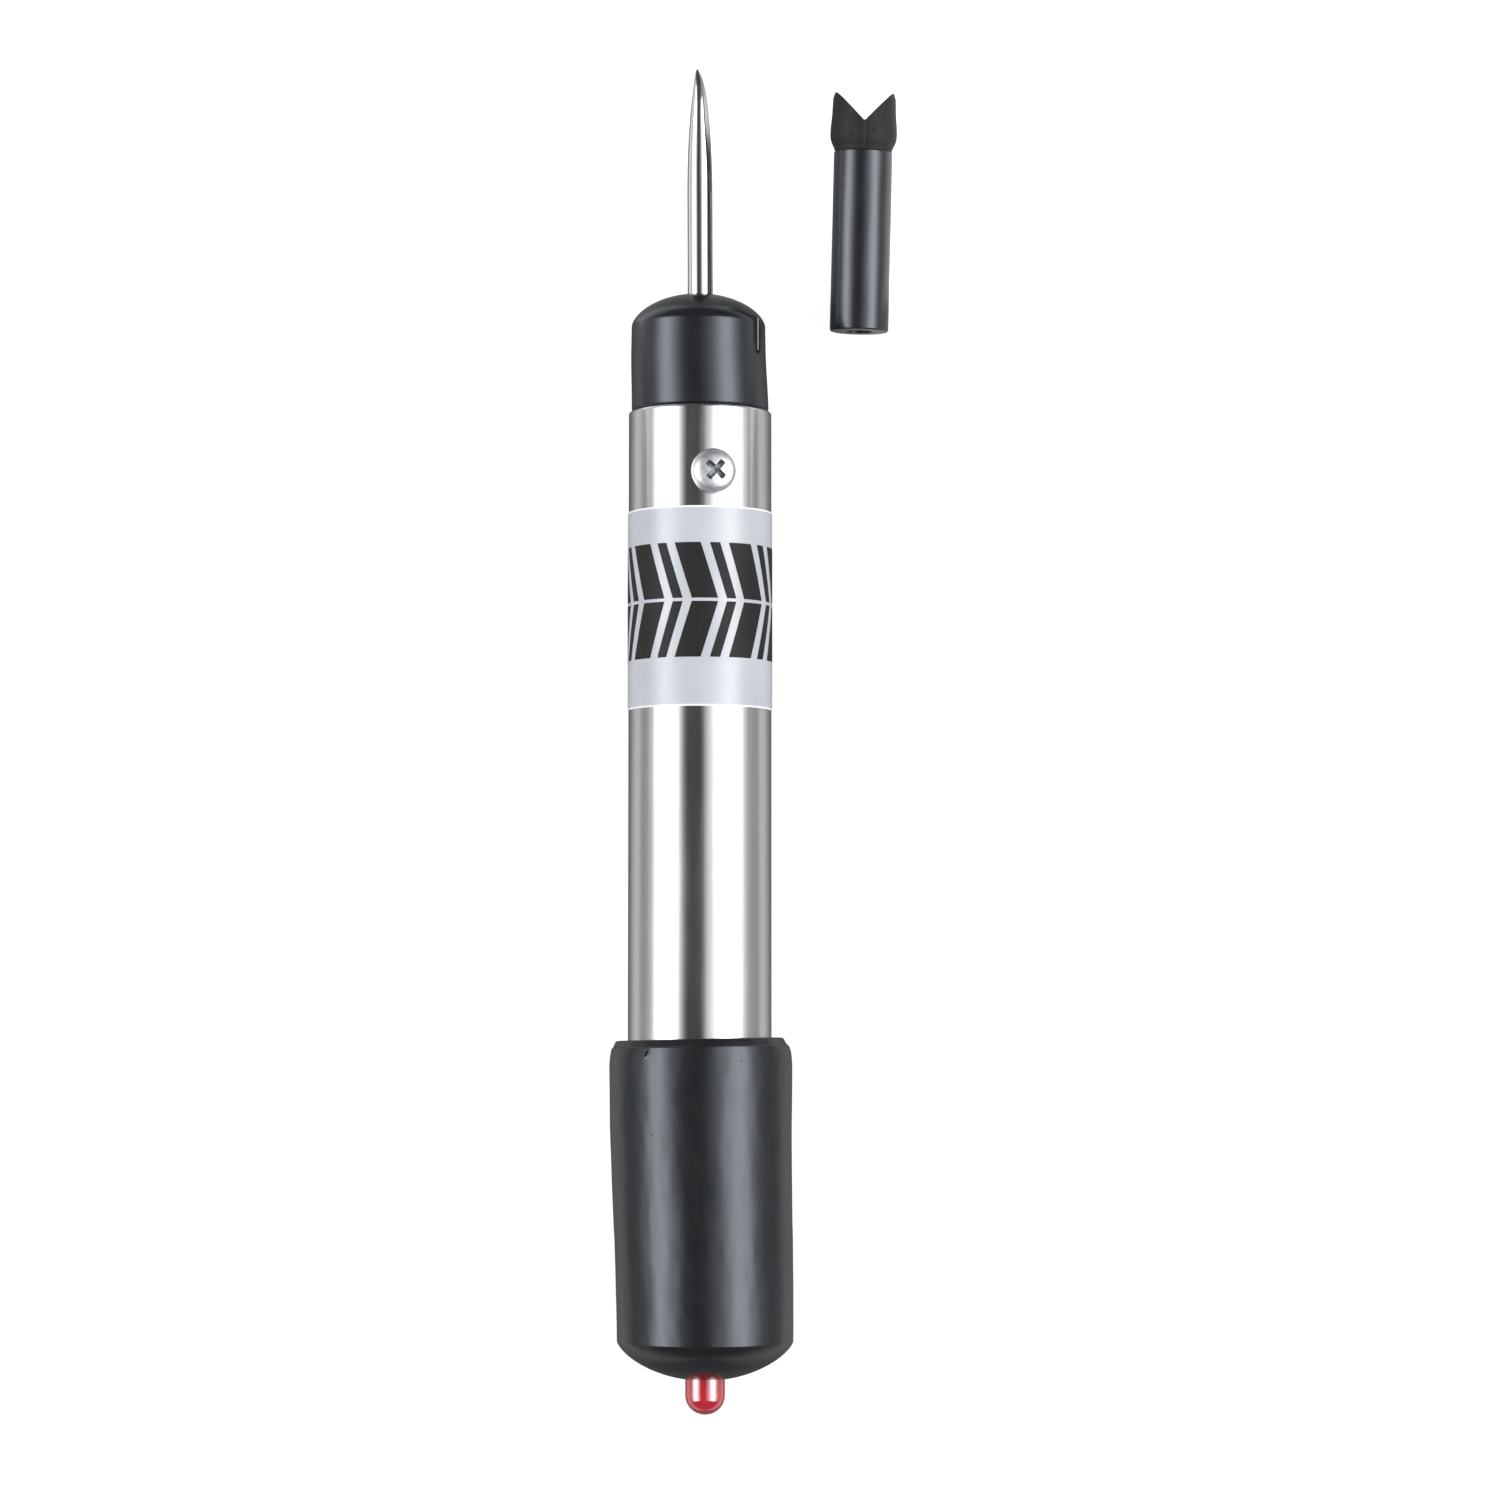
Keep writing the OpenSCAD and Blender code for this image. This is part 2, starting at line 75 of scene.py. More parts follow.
NEEDLE_LOW, NEEDLE_HIGH = span("probe_needle")
NOSE_LOW, NOSE_HIGH = span("nose_insulator")
BARREL_LOW, BARREL_HIGH = span("barrel")
LABEL_LOW, LABEL_HIGH = span("label_band")
BOOT_LOW, BOOT_HIGH = span("boot")
LAMP_LOW, LAMP_HIGH = span("lamp_lens")
SCREW_LOW, SCREW_HIGH = span("nose_screw")

BARREL_R = BARREL_HIGH.x
BARREL_WALL = 0.8
LABEL_R = LABEL_HIGH.x
NEEDLE_R = 1.6
LAMP_R = 2.5
LAMP_SIDE = 0.7
SCREW_TURN = radians(11)
SCREW_Y = (SCREW_LOW.y + SCREW_HIGH.y) / 2
SCREW_HEAD_H = 2.0
NOSE_POWER, BOOT_POWER = 0.6, 0.7
BOOT_FOOT = 2.6

FACET_TURN, FACET_HALF, FACET_SPREAD = radians(56), radians(17), radians(12)
FACET_START_Y, FACET_FULL_Y = 15, 25

GUARD_LEN, GUARD_R, GUARD_BORE_R = 30.6, 3.75, 1.65
HEAD_LEN = 7.7
HEAD_Y = GUARD_LEN - HEAD_LEN
STEM_R, STEM_LEN = 2.7, 6.0


# ---- Mesh helpers --------------------------------------------------------------------------

def polar(y, r, angle):
    """A point at an angle from the top of the tool, towards +X."""
    return (r * sin(angle), y, r * cos(angle))


def finish_mesh(mesh, crease):
    """Outward normals, smooth faces, and sharp edges where faces meet at more than crease."""
    bm = bmesh.new()
    bm.from_mesh(mesh)
    bmesh.ops.recalc_face_normals(bm, faces=bm.faces)
    bm.to_mesh(mesh)
    bm.free()
    mesh.shade_smooth()
    mesh.set_sharp_from_angle(angle=radians(crease))


def solid(name, points, faces, crease=35):
    """A new piece from points in millimetres."""
    mesh = bpy.data.meshes.new(name)
    mesh.from_pydata([Vector(p) * MM for p in points], [], faces)
    finish_mesh(mesh, crease)
    piece = bpy.data.objects.new(name, mesh)
    bpy.context.scene.collection.objects.link(piece)
    return piece


def loft(name, rings, closed=False, crease=35):
    """A solid through rings of points. A ring of one point ends it; closed joins last to first."""
    points, starts = [], []
    for ring in rings:
        starts.append(len(points))
        points.extend(ring)
    pairs = [(i, i + 1) for i in range(len(rings) - 1)]
    if closed:
        pairs.append((len(rings) - 1, 0))
    faces = []
    for i, j in pairs:
        a, b = starts[i], starts[j]
        count = max(len(rings[i]), len(rings[j]))
        for k in range(count):
            m = (k + 1) % count
            if len(rings[i]) == 1:
                faces.append((a, b + k, b + m))
            elif len(rings[j]) == 1:
                faces.append((a + k, b, a + m))
            else:
                faces.append((a + k, b + k, b + m, a + m))
    return solid(name, points, faces, crease)


def around(count, fine_at=(), fine_width=0.0, fine_count=0):
    """Angles of a full turn, closer together within fine_width of each angle in fine_at."""
    angles = {round(tau * k / count, 9) for k in range(count)}
    for centre in fine_at:
        for k in range(-fine_count, fine_count + 1):
            angles.add(round((centre + fine_width * k / fine_count) % tau, 9))
    return sorted(angles)


def lathe(name, profile, angles=None, shape=polar, closed=False, crease=35):
    """A solid turned about the tool's axis from a profile of (y, radius)."""
    angles = angles or around(192)
    rings = [
        [shape(y, r, a) for a in angles] if r > 1e-6 else [shape(y, 0, 0)] for y, r in profile
    ]
    return loft(name, rings, closed, crease)


def rounded(corners, steps=6):
    """A path through corners (y, radius, fillet), with each corner's fillet as a smooth bend."""
    path = []
    for i, (y, r, fillet) in enumerate(corners):
        here = Vector((y, r))
        if fillet == 0 or i in (0, len(corners) - 1):
            path.append((y, r))
            continue
        back = Vector(corners[i - 1][:2]) - here
        ahead = Vector(corners[i + 1][:2]) - here
        start = here + back.normalized() * min(fillet, back.length / 2)
        end = here + ahead.normalized() * min(fillet, ahead.length / 2)
        for k in range(steps + 1):
            t = k / steps
            path.append(tuple(start * (1 - t) ** 2 + here * 2 * t * (1 - t) + end * t * t))
    return path


def divided(path, step):
    """The same path with no stretch longer than step."""
    points = [path[0]]
    for (y1, r1), (y2, r2) in zip(path, path[1:]):
        count = max(1, round(sqrt((y2 - y1) ** 2 + (r2 - r1) ** 2) / step))
        points += [
            (y1 + (y2 - y1) * k / count, r1 + (r2 - r1) * k / count) for k in range(1, count + 1)
        ]
    return points


def dome(r_out, height, r_flat, power, steps=30):
    """(height above the foot, radius) from the foot of a dome to the edge of its flat top."""
    top = (1 - (r_flat / r_out) ** 2) ** power
    points = []
    for k in range(steps + 1):
        r = r_flat + (r_out - r_flat) * cos(pi / 2 * k / steps)
        points.append((height * max(0.0, 1 - (r / r_out) ** 2) ** power / top, r))
    return points


def smooth(t):
    """0 below 0, 1 above 1, and an even S between."""
    t = min(1.0, max(0.0, t))
    return t * t * (3 - 2 * t)


def place(piece, matrix):
    """Moves a piece's mesh, with the matrix's translation in metres."""
    piece.data.transform(matrix)
    return piece


def carve(piece, cutter, crease=35):
    """Cuts one closed mesh out of another and removes the cutter."""
    cut = piece.modifiers.new("cut", "BOOLEAN")
    cut.operation = "DIFFERENCE"
    cut.solver = "EXACT"
    cut.object = cutter
    graph = bpy.context.evaluated_depsgraph_get()
    mesh = bpy.data.meshes.new_from_object(piece.evaluated_get(graph))
    piece.modifiers.clear()
    piece.data = mesh
    bpy.data.objects.remove(cutter)
    mesh.shade_smooth()
    mesh.set_sharp_from_angle(angle=radians(crease))
    return piece


def stack(name, outline, levels):
    """A solid whose sections along +Z are an outline (x, y), at levels (z, scale x, scale y)."""
    rings = [[(x * sx, y * sy, z) for x, y in outline] for z, sx, sy in levels]
    low, high = levels[0], levels[-1]
    return loft(name, [[(0, 0, low[0])], *rings, [(0, 0, high[0])]])


# ---- Material helpers ----------------------------------------------------------------------

def material(name, settings):
    """A Principled material with its shader's own values set."""
    made = bpy.data.materials.new(name)
    made.use_nodes = True
    shader = made.node_tree.nodes["Principled BSDF"]
    for socket, value in settings.items():
        shader.inputs[socket].default_value = (*value, 1) if isinstance(value, tuple) else value
    return made


def node(made, kind, inputs=None, **settings):
    """A node whose inputs are constants or other nodes' outputs."""
    new = made.node_tree.nodes.new(kind)
    for key, value in settings.items():
        setattr(new, key, value)
    for socket, value in (inputs or {}).items():
        if isinstance(value, bpy.types.NodeSocket):
            made.node_tree.links.new(value, new.inputs[socket])
        else:
            new.inputs[socket].default_value = value
    return new


def mixed(made, fac, first, second, blend="MIX"):
    """A colour that is the first where fac is 0 and the second, or its blend, where it is 1."""
    return node(
        made, "ShaderNodeMix", {0: fac, 6: first, 7: second}, data_type="RGBA",
        blend_type=blend).outputs[2]


def plug(made, socket, output):
    """Links a node's output to a socket of the material's shader."""
    shader = made.node_tree.nodes["Principled BSDF"]
    made.node_tree.links.new(output, shader.inputs[socket])


def where(made, per_mm=(1, 1, 1)):
    """The point on the object, in millimetres, stretched along each axis."""
    coords = node(made, "ShaderNodeTexCoord").outputs["Object"]
    scale = [v / MM for v in per_mm]
    return node(made, "ShaderNodeMapping", {"Vector": coords, "Scale": scale}).outputs[0]


def grain(made, per_mm, detail=3.0, roughness=0.55):
    """Noise with so many features to the millimetre along each axis."""
    per_mm = (per_mm,) * 3 if isinstance(per_mm, (int, float)) else per_mm
    inputs = {"Vector": where(made, per_mm), "Scale": 1.0, "Detail": detail, "Roughness": roughness}
    return node(made, "ShaderNodeTexNoise", inputs).outputs["Fac"]


def between(made, fac, low, high, start=0.3, end=0.7):
    """fac from start to end, turned into a number from low to high."""
    inputs = {"Value": fac, "From Min": start, "From Max": end, "To Min": low, "To Max": high}
    return node(made, "ShaderNodeMapRange", inputs).outputs["Result"]


def tinted(made, fac, low, high, start=0.3, end=0.7):
    """fac from start to end, turned into a colour from low to high."""
    ramp = node(made, "ShaderNodeValToRGB", {"Fac": fac})
    ramp.color_ramp.elements[0].position = start
    ramp.color_ramp.elements[0].color = (*low, 1)
    ramp.color_ramp.elements[1].position = end
    ramp.color_ramp.elements[1].color = (*high, 1)
    return ramp.outputs["Color"]


def math(made, operation, a, b=0.0):
    return node(made, "ShaderNodeMath", {0: a, 1: b}, operation=operation).outputs[0]


def pits(made, per_mm, size):
    """1 on the plain surface and 0 at the bottom of small scattered pits."""
    cells = node(made, "ShaderNodeTexVoronoi", {"Vector": where(made, (per_mm,) * 3), "Scale": 1.0})
    keep = node(made, "ShaderNodeSeparateColor", {"Color": cells.outputs["Color"]}).outputs[0]
    rare = math(made, "GREATER_THAN", keep, 0.72)
    depth = between(made, cells.outputs["Distance"], 1.0, 0.0, 0.0, size)
    return math(made, "SUBTRACT", 1.0, math(made, "MULTIPLY", depth, rare))


def relief(made, height, depth_mm, strength=1.0, under=None):
    """Bumps of a depth in millimetres on the shader's normal."""
    inputs = {"Height": height, "Distance": depth_mm * MM, "Strength": strength}
    if under is not None:
        inputs["Normal"] = under
    normal = node(made, "ShaderNodeBump", inputs).outputs[0]
    plug(made, "Normal", normal)
    return normal


# ---- Materials seen outside ----------------------------------------------------------------

def drawn_metal(name, dull, bright, rough_low, rough_high):
    """Bright metal with drawing lines along Y and faint handling marks."""
    made = material(name, {"Metallic": 1.0, "Anisotropic": 0.2})
    lines = grain(made, (5.0, 0.03, 5.0), 5.0, 0.7)
    marks = grain(made, (0.16, 0.09, 0.16), 3.0)
    plug(made, "Base Color", tinted(made, lines, dull, bright, 0.25, 0.7))
    both = math(made, "ADD", math(made, "MULTIPLY", lines, 0.5), math(made, "MULTIPLY", marks, 0.5))
    plug(made, "Roughness", between(made, both, rough_low, rough_high, 0.35, 0.65))
    relief(made, lines, 0.0016)
    return made


def plated_barrel():
    return drawn_metal("plated_barrel", (0.66, 0.675, 0.68), (0.78, 0.785, 0.78), 0.1, 0.2)


def polished_steel():
    """Bright steel with a painted dark band along the upper edge of the ground facet, standing in
    for a dark reflection.
    """
    made = drawn_metal("polished_steel", (0.55, 0.56, 0.58), (0.68, 0.69, 0.7), 0.1, 0.2)
    spot = node(made, "ShaderNodeSeparateXYZ", {"Vector": where(made)})
    turn = math(made, "ARCTAN2", spot.outputs["X"], spot.outputs["Z"])
    spread = node(
        made, "ShaderNodeMapRange",
        {"Value": spot.outputs["Y"], "From Min": FACET_START_Y, "From Max": FACET_FULL_Y,
         "To Min": 0.0, "To Max": FACET_SPREAD}, interpolation_type="SMOOTHSTEP")
    corner = math(made, "SUBTRACT", turn, FACET_TURN - FACET_HALF)
    edge = math(made, "ADD", corner, spread.outputs[0])
    # Painted dark band: a thin near-black strip of base colour at the facet's upper edge, standing
    # in for a dark reflection.
    painted_dark_band = between(made, math(made, "ABSOLUTE", edge), 1.0, 0.0, radians(3), radians(6))
    without_painted_dark = made.node_tree.nodes["Principled BSDF"].inputs["Base Color"].links[0].from_socket
    plug(made, "Base Color", mixed(made, painted_dark_band, without_painted_dark, (0.06, 0.065, 0.075, 1)))
    return made


def zinc_screw():
    """Pale zinc plating, with painted shade darkening it down in the recess."""
    made = material("zinc_screw", {"Metallic": 1.0})
    spangle = grain(made, 1.6, 4.0, 0.7)
    coords = node(made, "ShaderNodeTexCoord").outputs["Object"]
    upright = node(
        made, "ShaderNodeMapping", {"Vector": coords, "Rotation": (0, -SCREW_TURN, 0)}).outputs[0]
    height = node(made, "ShaderNodeSeparateXYZ", {"Vector": upright}).outputs["Z"]
    recess_top = (BARREL_R + SCREW_HEAD_H - 0.35) * MM
    plating = tinted(made, spangle, (0.58, 0.6, 0.64), (0.78, 0.79, 0.8))
    # Painted shade: below the rim and within 1.7 mm of the axis, down in the recess, the base
    # colour is a dark grey.
    rim = math(made, "GREATER_THAN", height, recess_top)
    apart = node(made, "ShaderNodeVectorMath", {0: upright, 1: (0, SCREW_Y * MM, 0)},
                 operation="SUBTRACT").outputs[0]
    flat = node(made, "ShaderNodeVectorMath", {0: apart, 1: (1, 1, 0)}, operation="MULTIPLY")
    reach = node(
        made, "ShaderNodeVectorMath", {0: flat.outputs[0]}, operation="LENGTH").outputs["Value"]
    outer = math(made, "GREATER_THAN", reach, 1.7 * MM)
    without_painted_dark = math(made, "MAXIMUM", rim, outer)
    plug(made, "Base Color", mixed(made, without_painted_dark, (0.3, 0.32, 0.33, 1), plating))
    plug(made, "Roughness", between(made, grain(made, 3.0), 0.42, 0.54))
    relief(made, spangle, 0.005)
    return made


def black_plastic(name, dark, light, rough, gloss, pit_mm):
    """Black moulding: soft colour drift, uneven gloss and scattered pits."""
    made = material(name, {"IOR": gloss, "Specular Tint": (0.82, 0.91, 1.0)})
    drift = grain(made, 0.22, 2.0)
    plug(made, "Base Color", tinted(made, drift, dark, light))
    fine = grain(made, 2.4, 4.0, 0.65)
    plug(made, "Roughness", between(made, fine, *rough))
    holes = pits(made, 0.55, pit_mm)
    orange_peel = relief(made, grain(made, 1.1, 2.0), 0.004)
    relief(made, holes, 0.05, 0.8, orange_peel)
    return made


def nose_plastic():
    return black_plastic(
        "nose_plastic", (0.01, 0.011, 0.013), (0.015, 0.015, 0.017), (0.2, 0.27), 1.62, 0.05)


def boot_vinyl():
    return black_plastic(
        "boot_vinyl", (0.009, 0.01, 0.011), (0.015, 0.014, 0.016), (0.2, 0.28), 1.61, 0.09)


def guard_sleeve_plastic():
    return black_plastic(
        "guard_sleeve_plastic", (0.012, 0.012, 0.014), (0.018, 0.018, 0.02), (0.2, 0.27), 1.68,
        0.12)


def guard_head_plastic():
    made = material("guard_head_plastic", {"IOR": 1.36})
    drift = grain(made, 0.5, 3.0)
    plug(made, "Base Color", tinted(made, drift, (0.0095, 0.0092, 0.01), (0.0165, 0.016, 0.0165)))
    fine = grain(made, 3.5, 4.0, 0.7)
    plug(made, "Roughness", between(made, fine, 0.5, 0.68))
    relief(made, fine, 0.02)
    return made


def label_film():
    """Silver film with a pearl sheen and a white margin at both edges."""
    made = material("label_film", {"IOR": 1.66})
    along = node(made, "ShaderNodeSeparateXYZ", {"Vector": where(made)}).outputs["Y"]
    middle = (LABEL_LOW.y + LABEL_HIGH.y) / 2
    half = (LABEL_HIGH.y - LABEL_LOW.y) / 2
    out = math(made, "ABSOLUTE", math(made, "SUBTRACT", along, middle))
    margin = math(made, "GREATER_THAN", out, half - 0.22)
    cloudy = grain(made, 0.12, 2.0)
    ground = tinted(made, cloudy, (0.46, 0.485, 0.54), (0.53, 0.55, 0.585))
    plug(made, "Base Color", mixed(made, margin, ground, (0.95, 0.95, 0.95, 1)))
    plug(made, "Roughness", between(made, grain(made, 6.0, 3.0), 0.26, 0.34))
    relief(made, cloudy, 0.02)
    return made


def label_ink():
    made = material("label_ink", {"IOR": 1.3})
    spots = grain(made, 4.0, 4.0)
    plug(made, "Base Color", tinted(made, spots, (0.011, 0.011, 0.011), (0.02, 0.02, 0.02)))
    plug(made, "Roughness", between(made, spots, 0.45, 0.6))
    relief(made, spots, 0.004)
    return made


def lamp_epoxy():
    settings = {
        "Transmission Weight": 0.25, "IOR": 1.9, "Coat Weight": 1.0, "Coat IOR": 2.2,
        "Coat Roughness": 0.03, "Subsurface Weight": 0.3, "Subsurface Scale": 0.001,
    }
    made = material("lamp_epoxy", settings)
    cloudy = grain(made, 0.6, 2.0)
    plug(made, "Base Color", tinted(made, cloudy, (0.62, 0.012, 0.035), (0.78, 0.02, 0.05)))
    plug(made, "Roughness", between(made, cloudy, 0.05, 0.1))
    relief(made, cloudy, 0.02)
    return made


# ---- Materials inside the tool -------------------------------------------------------------

def inner_metal(name, dull, bright, rough):
    made = material(name, {"Metallic": 1.0})
    marks = grain(made, (3.0, 0.4, 3.0), 4.0, 0.65)
    plug(made, "Base Color", tinted(made, marks, dull, bright))
    plug(made, "Roughness", between(made, marks, rough, rough + 0.15))
    relief(made, marks, 0.006)
    return made


def inner_plastic(name, dark, light, rough):
    made = material(name, {"IOR": 1.5})
    drift = grain(made, 0.4, 3.0)
    fine = grain(made, 4.0, 3.0)
    plug(made, "Base Color", tinted(made, drift, dark, light))
    plug(made, "Roughness", between(made, fine, rough, rough + 0.15))
    relief(made, fine, 0.01)
    return made


def cell_film(low, high):
    """Plain blue film with a silver band at the positive end."""
    made = material("cell_film", {"Coat Weight": 0.6, "Coat Roughness": 0.1})
    along = node(made, "ShaderNodeSeparateXYZ", {"Vector": where(made)}).outputs["Y"]
    pitch = high.y - low.y
    share = math(made, "FRACT", math(made, "DIVIDE", math(made, "SUBTRACT", along, low.y), pitch))
    band = math(made, "GREATER_THAN", share, 0.84)
    drift = grain(made, 0.5, 2.0)
    blue = tinted(made, drift, (0.02, 0.07, 0.2), (0.035, 0.1, 0.27))
    plug(made, "Base Color", mixed(made, band, blue, (0.5, 0.5, 0.52, 1)))
    plug(made, "Metallic", between(made, band, 0.0, 0.8, 0.0, 1.0))
    plug(made, "Roughness", between(made, drift, 0.25, 0.35))
    relief(made, grain(made, 2.0), 0.006)
    return made


def board_laminate():
    """Green solder mask over faint copper runs."""
    made = material("board_laminate", {"Coat Weight": 0.4, "Coat Roughness": 0.2})
    runs = node(
        made, "ShaderNodeTexBrick",
        {"Vector": where(made, (0.5, 0.5, 0.5)), "Scale": 1.0, "Mortar Size": 0.12,
         "Color1": (0.012, 0.1, 0.04, 1), "Color2": (0.012, 0.1, 0.04, 1),
         "Mortar": (0.03, 0.2, 0.08, 1)})
    plug(made, "Base Color", runs.outputs["Color"])
    plug(made, "Roughness", between(made, grain(made, 3.0), 0.35, 0.5))
    relief(made, runs.outputs["Fac"], 0.03)
    return made


# ---- Pieces --------------------------------------------------------------------------------

def probe_needle():
    """A ground point and side facet on a straight shank, with a tail held in the nose."""
    tip_y = NEEDLE_HIGH.y
    point_len, point_power = 16.3, 0.6
    tail_y = NEEDLE_LOW.y
    knurl_y = NOSE_LOW.y / 2 - 1

    def shifted(y, r, angle):
        risen = smooth((y - FACET_START_Y) / (FACET_FULL_Y - FACET_START_Y))
        half = FACET_HALF + FACET_SPREAD * risen
        off = abs((angle - FACET_TURN + pi) % tau - pi)
        if y > 0 and off < half:
            r *= cos(half) / cos(off)
        hooked = -0.3 * max(0.0, 1 - (tip_y - y) / 4) ** 2
        leaning = -0.12 * smooth(y / tip_y)
        x, y, z = polar(y, r, angle)
        return (x + hooked + leaning, y, z)

    rows = 40
    profile = [(tip_y, 0)]
    for k in range(1, rows + 1):
        t = (k / rows) ** 1.6
        profile.append((tip_y - point_len * t, NEEDLE_R * (1 - (1 - t) ** 2) ** point_power))
    tail = rounded([
        (0, NEEDLE_R, 0), (-0.2, 1.3, 0.1), (knurl_y, 1.3, 0.1), (knurl_y - 0.5, 1.85, 0.1),
        (knurl_y - 4, 1.85, 0.1), (knurl_y - 4.5, 1.3, 0.1), (tail_y, 1.3, 0)])
    profile += divided(tail, 1.5) + [(tail_y, 0)]
    return lathe("needle", profile, around(96), shifted, crease=40)


def nose_insulator():
    """A domed black plug with a spigot, a bore for the needle's tail and a keyway."""
    front_y = NOSE_HIGH.y
    foot_y = -3.9
    back_y = BARREL_HIGH.y
    front_r, back_r = 8.45, 8.65
    spigot_r = BARREL_R - BARREL_WALL
    bore_r = 1.3
    flat_r = 2.8
    cap = dome(front_r, front_y - foot_y, flat_r, NOSE_POWER)
    cap = [(foot_y + h, r) for h, r in reversed(cap)]

    def leaning(y, r, angle):
        x, y, z = polar(y, r, angle)
        return (x - 0.22 * smooth((y - back_y) / 8), y, z)

    body = rounded([
        (foot_y, front_r, 0), (back_y + 0.35, back_r, 0.2), (back_y, back_r - 0.35, 0.1),
        (back_y, spigot_r, 0.05), (NOSE_LOW.y + 0.5, spigot_r, 0.1),
        (NOSE_LOW.y, spigot_r - 0.5, 0.1), (NOSE_LOW.y, bore_r, 0), (front_y, bore_r, 0)])
    profile = divided(cap + body[1:], 1.2)
    piece = lathe("nose", profile, around(192), leaning, closed=True, crease=32)
    return carve(piece, keyway(foot_y, front_r), 32)


def keyway(foot_y, surface_r):
    """The keyway's cutter: a slot that is open at the front and round at its rear end."""
    half_w, depth, length = 0.85, 0.5, 3.1
    turn = radians(60)
    steps = 12
    outline = [
        (half_w * cos(pi * k / steps), -half_w * sin(pi * k / steps)) for k in range(steps + 1)]
    front = length + 4.5
    outline += [(-half_w, front), (half_w, front)]
    flare = 1.02
    levels = [
        (surface_r - depth, 0.8, 0.95), (surface_r - depth + 0.12, 1, 1),
        (surface_r - 0.16, 1, 1), (surface_r + 0.1, flare, 1.03), (surface_r + 1.5, flare, 1.03)]
    cutter = stack("keyway", outline, levels)
    lift = Matrix.Translation((0, (foot_y - length) * MM, 0))
    return place(cutter, lift @ Matrix.Rotation(turn, 4, "Y"))


def barrel():
    """The plated tube, with a turned-over front edge and the screw's hole."""
    front_y, rear_y = BARREL_HIGH.y, BARREL_LOW.y
    inner_r = BARREL_R - BARREL_WALL
    profile = rounded([
        (rear_y + 5, inner_r, 0), (front_y, inner_r, 0.1), (front_y, BARREL_R, 0.4),
        (rear_y, BARREL_R, 0.2), (rear_y, inner_r, 0.1), (rear_y + 5, inner_r, 0)])
    piece = lathe("barrel_tube", divided(profile[:-1], 6), around(256), closed=True)
    hole_r = 1.45
    drill = lathe(
        "drill", [(5, 0), (5, hole_r), (BARREL_R + 1, hole_r), (BARREL_R + 1, 0)], around(48))
    return carve(piece, place(drill, screw_place()))


def screw_place():
    """Stands a piece built along +Y on the tool's axis at the screw, pointing outwards."""
    turn = Matrix.Rotation(SCREW_TURN, 4, "Y") @ Matrix.Rotation(pi / 2, 4, "X")
    return Matrix.Translation((0, SCREW_Y * MM, 0)) @ turn


def nose_screw():
    """A pan head screw with a cross recess and a real thread."""
    head_r, head_h, side_h = 2.8, SCREW_HEAD_H, 0.85
    seat = BARREL_R
    thread_r, core_r, pitch = 1.45, 1.12, 0.64
    tip = seat - 5.6

    def threaded(y, r, angle):
        if tip + 1 <= y < seat - 0.3:
            phase = (y / pitch + angle / tau) % 1
            r = core_r + (thread_r - core_r) * (1 - abs(2 * phase - 1))
        return polar(y, r, angle)

    shank = [(tip, 0), (tip, 0.5), (tip + 0.99, core_r)]
    shank += [(tip + 1 + k * pitch / 10, thread_r) for k in range(int((4.2 / pitch) * 10))]
    shank += [(seat - 0.3, core_r), (seat, core_r)]
    rim = rounded([
        (seat, core_r, 0), (seat, head_r, 0.12), (seat + side_h, head_r - 0.03, 0.25),
        (seat + side_h + 0.2, head_r - 0.2, 0)])
    crown_y, crown_h = rim[-1][0], head_h - side_h - 0.2
    crown = [
        (crown_y + crown_h * (1 - (1 - k / 14) ** 2) ** 0.5, (head_r - 0.2) * (1 - k / 14))
        for k in range(1, 15)]
    piece = lathe("screw", shank + rim[1:] + crown, around(96), threaded, crease=30)
    top = seat + head_h
    for turn in (48, 138):
        piece = carve(piece, recess_arm(top, radians(turn)), 30)
    core = lathe(
        "recess_core", [(top - 1.35, 0), (top - 1.3, 0.28), (top + 0.5, 0.72), (top + 0.5, 0)],
        around(32))
    return place(carve(piece, core, 30), screw_place())


def recess_arm(top, turn):
    """One bar of the cross recess, narrower and shorter at its bottom."""
    half_len, half_w = 1.5, 0.4
    steps = 5
    end = [
        (half_len - half_w * 0.3 * (1 - cos(pi / 2 * k / steps)), half_w * k / steps)
        for k in range(-steps, steps + 1)]
    outline = end + [(-x, -y) for x, y in end]
    levels = [(-1.05, 0.6, 0.7), (-0.9, 0.72, 0.8), (-0.3, 0.97, 0.97), (0.5, 1.05, 1.02)]
    cutter = stack("recess", outline, levels)
    stand = Matrix.Translation((0, top * MM, 0)) @ Matrix.Rotation(-pi / 2, 4, "X")
    return place(cutter, stand @ Matrix.Rotation(turn, 4, "Z"))


def label_band():
    """Film wrapped once round the barrel, its end lapped over its start underneath."""
    thick = LABEL_R - BARREL_R
    start, lap = radians(176), radians(9)
    turns = 220
    rings = []
    low, high = LABEL_LOW.y, LABEL_HIGH.y
    for k in range(turns + 1):
        angle = start + (tau + lap) * k / turns
        lift = thick * smooth((angle - start - tau + radians(2)) / radians(2))
        inner, outer = BARREL_R + lift, BARREL_R + lift + thick
        edge = thick * 0.4
        section = [
            (low, inner), (low, outer - edge), (low + edge, outer), (high - edge, outer),
            (high, outer - edge), (high, inner)]
        rings.append([polar(y, r, angle) for y, r in section])
    first = [tuple(sum(c) / len(rings[0]) for c in zip(*rings[0]))]
    last = [tuple(sum(c) / len(rings[-1]) for c in zip(*rings[-1]))]
    return loft("label", [first, *rings, last])


